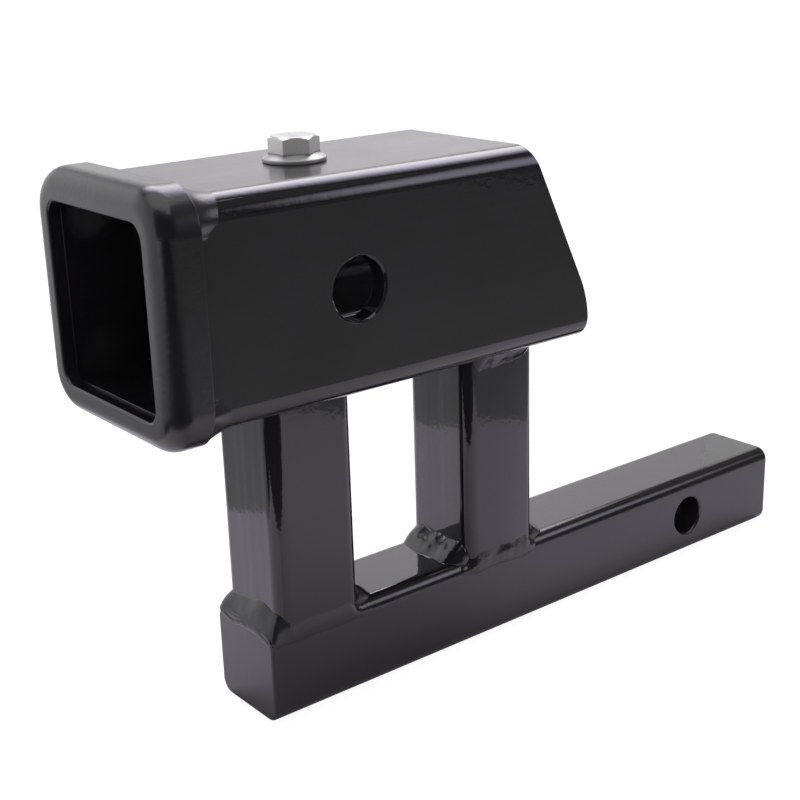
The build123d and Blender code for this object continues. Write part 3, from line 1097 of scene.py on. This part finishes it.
class HITCH_OT_bolt(bpy.types.Operator):
    """Build the bright clamp bolt: crowned hexagon, flange and wound thread"""

    bl_idname = "hitch.bolt"
    bl_label = "Build Clamp Bolt"

    def execute(self, context):
        bolt = context.scene.hitch_adapter.bolt
        low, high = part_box("anti_rattle_bolt")
        centre = ((low[0] + high[0]) / 2, (low[1] + high[1]) / 2)
        seat = low[2] + bolt.reach
        form = bmesh.new()
        bolt_hexagon(form, bolt, centre, seat)
        bolt_flange(form, bolt, centre, seat)
        bolt_core(form, bolt, centre, seat)
        mesh = closed_mesh("anti_rattle_bolt", form)
        piece = as_object("anti_rattle_bolt_bright", mesh, bright_steel(bolt))
        soften(piece, width=bolt.edge_round, angle=radians(28))
        thread = bolt_thread(bolt, centre, seat - bolt.reach + bolt.point)
        settle(piece, BOLT_BODY, BRIGHT_SLOT, "anti_rattle_bolt")
        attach(thread, BOLT_BODY)
        return {"FINISHED"}


def shown_rays(graph):
    """One for the rays that show the background: from the camera, off gloss and through glass."""
    kinds = ("Is Camera Ray", "Is Glossy Ray", "Is Transmission Ray")
    camera, glossy, through = [graph.add("ShaderNodeLightPath", out=kind) for kind in kinds]
    return camera.at_least(glossy).at_least(through)


def white_floor(name, seen, colour):
    """The floor: nearly white with its shadow where the background shows, and plain to other light."""
    material = bpy.data.materials.new(name)
    material.use_nodes = True
    graph = Graph(material.node_tree)
    material.node_tree.nodes.clear()
    shadow = graph.add("ShaderNodeBsdfDiffuse", {}, {"Color": (0.2, 0.2, 0.2, 1.0)})
    glow = graph.add("ShaderNodeEmission", {}, {"Color": (1.0, 1.0, 1.0, 1.0), "Strength": seen})
    plain = graph.add("ShaderNodeBsdfDiffuse", {}, {"Color": colour})
    pale = graph.add("ShaderNodeAddShader", {}, {0: shadow, 1: glow})
    mixed = graph.add("ShaderNodeMixShader", {}, {0: shown_rays(graph), 1: plain, 2: pale})
    graph.add("ShaderNodeOutputMaterial", {}, {"Surface": mixed})
    return material


def plain_card(name, colour):
    """A matt stage card."""
    material, _, shader = new_material(name)
    shader.inputs["Base Color"].default_value = colour
    shader.inputs["Roughness"].default_value = 0.9
    shader.inputs["Specular IOR Level"].default_value = 0.0
    return material


def glow_card(name, near, colour, strength, soft):
    """A card that glows with soft edges, in another colour near its start; soft is each edge's share."""
    material, graph, shader = new_material(name)
    parts = graph.add("ShaderNodeSeparateXYZ", {}, {0: graph.add("ShaderNodeTexCoord", out="UV")}).socket.node
    across = Term(graph, parts.outputs["X"])
    along_card = Term(graph, parts.outputs["Y"])
    sides = across.ramp(0.0, soft[0]) * (1.0 - across).ramp(0.0, soft[1])
    ends = along_card.ramp(0.0, soft[2]) * (1.0 - along_card).ramp(0.0, soft[3])
    tone = graph.mix_colour(along_card.ramp(0.15, 0.6), near, colour)
    graph.feed(shader.inputs["Emission Color"], graph.mix_colour(sides * ends, (0.0, 0.0, 0.0, 1.0), tone))
    shader.inputs["Emission Strength"].default_value = strength
    shader.inputs["Base Color"].default_value = (0.03, 0.03, 0.03, 1.0)
    shader.inputs["Roughness"].default_value = 1.0
    shader.inputs["Specular IOR Level"].default_value = 0.0
    return material


FLOOR_REACH = 6.0
FLOOR_DROP = 0.7 * MM
FLOOR_SEEN = 0.93
PAPER_DROP = 0.3 * MM
SWEEP_BEND = 90 * MM
OVERHEAD = 570 * MM
LAVENDER = (0.85, 0.815, 1.0, 1.0)
DAYLIGHT = (1.0, 0.985, 1.0, 1.0)


def photo_view(stage):
    """The camera's line of sight, and the level directions ahead of it and to its right."""
    view = (Vector(stage.camera_aim) - Vector(stage.camera_place)).normalized()
    ahead = Vector((view.x, view.y, 0)).normalized()
    return view, ahead, Vector((ahead.y, -ahead.x, 0))


def spot(stage, across, forward, height):
    """A place in the studio, from the point of the floor under the camera's aim."""
    _, ahead, right = photo_view(stage)
    origin = Vector((stage.camera_aim[0], stage.camera_aim[1], CAD_BOX[0][2]))
    return origin + right * across + ahead * forward + Vector((0, 0, height))


def sheet(name, corners, material, shown=False):
    """A sheet through pairs of corners; one that isn't shown is only mirrored."""
    mesh = bpy.data.meshes.new(name)
    rows = len(corners) // 2
    faces = [(2 * i, 2 * i + 1, 2 * i + 3, 2 * i + 2) for i in range(rows - 1)]
    mesh.from_pydata([tuple(corner) for corner in corners], [], faces)
    spread = mesh.uv_layers.new(name="spread")
    for loop in mesh.loops:
        row, column = divmod(loop.vertex_index, 2)
        spread.data[loop.index].uv = (column, row / (rows - 1))
    piece = as_object(name, mesh, material)
    piece.visible_camera = shown
    piece.visible_shadow = shown
    piece.visible_diffuse = shown


def place_camera(scene, stage):
    """The camera, where the one that took the photograph stood."""
    view, _, _ = photo_view(stage)
    data = bpy.data.cameras.new("photo_camera")
    data.sensor_width = 36
    data.lens = stage.camera_lens
    data.clip_start = 0.01
    data.clip_end = 100
    camera = bpy.data.objects.new("photo_camera", data)
    turn = view.to_track_quat("-Z", "Y").to_matrix().to_4x4()
    roll = Matrix.Rotation(-stage.camera_roll, 4, "Z")
    camera.matrix_world = Matrix.Translation(Vector(stage.camera_place)) @ turn @ roll
    scene.collection.objects.link(camera)
    scene.camera = camera


def lay_floor(stage):
    """The white floor, and on it the papers and darker sheets that the coat mirrors."""
    far = (-FLOOR_REACH, FLOOR_REACH)
    ground = [spot(stage, a, b, -FLOOR_DROP) for b in far for a in far]
    sheet("studio_floor", ground, white_floor("studio_floor", FLOOR_SEEN, (0.5, 0.49, 0.52, 1.0)), True)
    left, seam, right = -stage.paper_left, -stage.paper_seam, stage.paper_right
    run = (-stage.paper_front, stage.paper_back)
    for name, drop, sides, ends, colour in (
        ("studio_right_floor", 0.6 * MM, (0.2, stage.card_right), (-1.3, 1.4), (0.26, 0.26, 0.26, 1.0)),
        ("studio_left_floor", 0.5 * MM, (-stage.card_left, left), (-1.3, 1.0), (0.4, 0.4, 0.41, 1.0)),
        ("studio_front_floor", 0.4 * MM, (-0.3, 0.2), (-2.0, -0.1), (0.03, 0.03, 0.03, 1.0)),
        ("studio_left_paper", PAPER_DROP, (left, seam), run, (0.76, 0.72, 0.83, 1.0)),
        ("studio_right_paper", PAPER_DROP, (seam, right), run, (0.6, 0.57, 0.66, 1.0)),
    ):
        sheet(name, [spot(stage, a, b, -drop) for b in ends for a in sides], plain_card(name, colour))


def stand_cards(stage):
    """The sweep behind the object, and the cards that stand round it."""
    rows = []
    for angle in steps(0.0, pi / 2, 9):
        forward = stage.paper_back + SWEEP_BEND * sin(angle)
        rows.append((forward, SWEEP_BEND * (1 - cos(angle)) - PAPER_DROP))
    rows.append((stage.paper_back + SWEEP_BEND, stage.paper_height))
    sides = (-stage.paper_left, stage.paper_right)
    sweep = [spot(stage, a, b, h) for b, h in rows for a in sides]
    sheet("studio_sweep", sweep, plain_card("studio_sweep", (0.9, 0.89, 0.92, 1.0)))
    for name, across, run, heights, colour in (
        ("studio_left_card", -stage.card_left, (-0.5, 0.7), (0.0, 0.7), (0.9, 0.9, 0.91, 1.0)),
        ("studio_right_card", stage.card_right, (-0.9, 0.9), (0.0, 0.28), (0.14, 0.14, 0.14, 1.0)),
        ("studio_right_wall", stage.card_right, (-0.9, 1.4), (0.28, 1.9), (0.22, 0.215, 0.23, 1.0)),
    ):
        sheet(name, [spot(stage, across, b, h) for h in heights for b in run], plain_card(name, colour))
    rear = [spot(stage, a, -1.3, h) for h in (0.0, 2.2) for a in (-1.6, 1.6)]
    sheet("studio_rear_card", rear, plain_card("studio_rear_card", (0.08, 0.08, 0.08, 1.0)))


def hang_panels(stage):
    """The two soft-edged panels that the coat mirrors, overhead and on the right."""
    above = [spot(stage, a, b, OVERHEAD) for b in (0.05, 0.8) for a in (-0.42, 0.44)]
    glow = glow_card("studio_overhead", LAVENDER, DAYLIGHT, stage.panel_level, (0.3, 0.24, 0.31, 0.52))
    sheet("studio_overhead", above, glow)
    beside = [spot(stage, 0.74, b, h) for h in (0.21, 0.8) for b in (-0.36, 0.28)]
    glow = glow_card("studio_side_light", LAVENDER, LAVENDER, stage.side_level, (0.3, 0.5, 0.32, 0.55))
    sheet("studio_side_light", beside, glow)


def hang_lamp(scene, stage):
    """The area lamp that lights the object from overhead and isn't mirrored itself."""
    lamp = bpy.data.lights.new("overhead_panel", "AREA")
    lamp.shape = "RECTANGLE"
    lamp.size = 0.5
    lamp.size_y = 0.45
    lamp.color = (1.0, 0.985, 0.98)
    lamp.energy = stage.panel_level * pi * lamp.size * lamp.size_y
    panel = bpy.data.objects.new("overhead_panel", lamp)
    _, ahead, right = photo_view(stage)
    axes = Matrix((right, ahead, Vector((0, 0, 1)))).transposed().to_4x4()
    panel.matrix_world = Matrix.Translation(spot(stage, 0.03, 0.28, OVERHEAD)) @ axes
    panel.visible_camera = False
    panel.visible_glossy = False
    scene.collection.objects.link(panel)


def light_room(scene, stage):
    """The world: white where the background shows, and at the room's level to other light."""
    world = bpy.data.worlds.new("studio_room")
    scene.world = world
    world.use_nodes = True
    world.node_tree.nodes.clear()
    graph = Graph(world.node_tree)
    strength = stage.world_level + (1.0 - stage.world_level) * shown_rays(graph)
    back = graph.add("ShaderNodeBackground", {}, {"Color": (1.0, 1.0, 1.0, 1.0), "Strength": strength})
    graph.add("ShaderNodeOutputWorld", {}, {"Surface": back})


class HITCH_OT_stage(bpy.types.Operator):
    """Set up the camera, the floor, the cards, the lamp and the world"""

    bl_idname = "hitch.stage"
    bl_label = "Set Up Studio"

    def execute(self, context):
        scene = context.scene
        stage = scene.hitch_adapter.stage
        place_camera(scene, stage)
        lay_floor(stage)
        stand_cards(stage)
        hang_panels(stage)
        hang_lamp(scene, stage)
        light_room(scene, stage)
        scene.view_settings.view_transform = "Standard"
        return {"FINISHED"}


class HITCH_PT_adapter(bpy.types.Panel):
    """Steps that dress the adapter"""

    bl_idname = "HITCH_PT_adapter"
    bl_label = "Hitch Adapter"
    bl_space_type = "VIEW_3D"
    bl_region_type = "UI"
    bl_category = "Adapter"

    def draw(self, context):
        for step in STEPS:
            self.layout.operator(step.bl_idname)


STEPS = (
    HITCH_OT_members,
    HITCH_OT_collar,
    HITCH_OT_post_welds,
    HITCH_OT_collar_welds,
    HITCH_OT_bolt,
    HITCH_OT_stage,
)
CLASSES = (
    AdapterCoatSettings,
    AdapterWeldSettings,
    AdapterCollarSettings,
    AdapterBoltSettings,
    AdapterStageSettings,
    AdapterSettings,
    *STEPS,
    HITCH_PT_adapter,
)


def register():
    for item in CLASSES:
        bpy.utils.register_class(item)
    bpy.types.Scene.hitch_adapter = PointerProperty(
        type=AdapterSettings, name="Hitch Adapter", description="Settings of the hitch adapter"
    )


def unregister():
    del bpy.types.Scene.hitch_adapter
    for item in reversed(CLASSES):
        bpy.utils.unregister_class(item)


def main():
    register()
    bpy.ops.hitch.members()
    bpy.ops.hitch.collar()
    bpy.ops.hitch.post_welds()
    bpy.ops.hitch.collar_welds()
    bpy.ops.hitch.bolt()
    bpy.ops.hitch.stage()


if __name__ == "__main__":
    main()
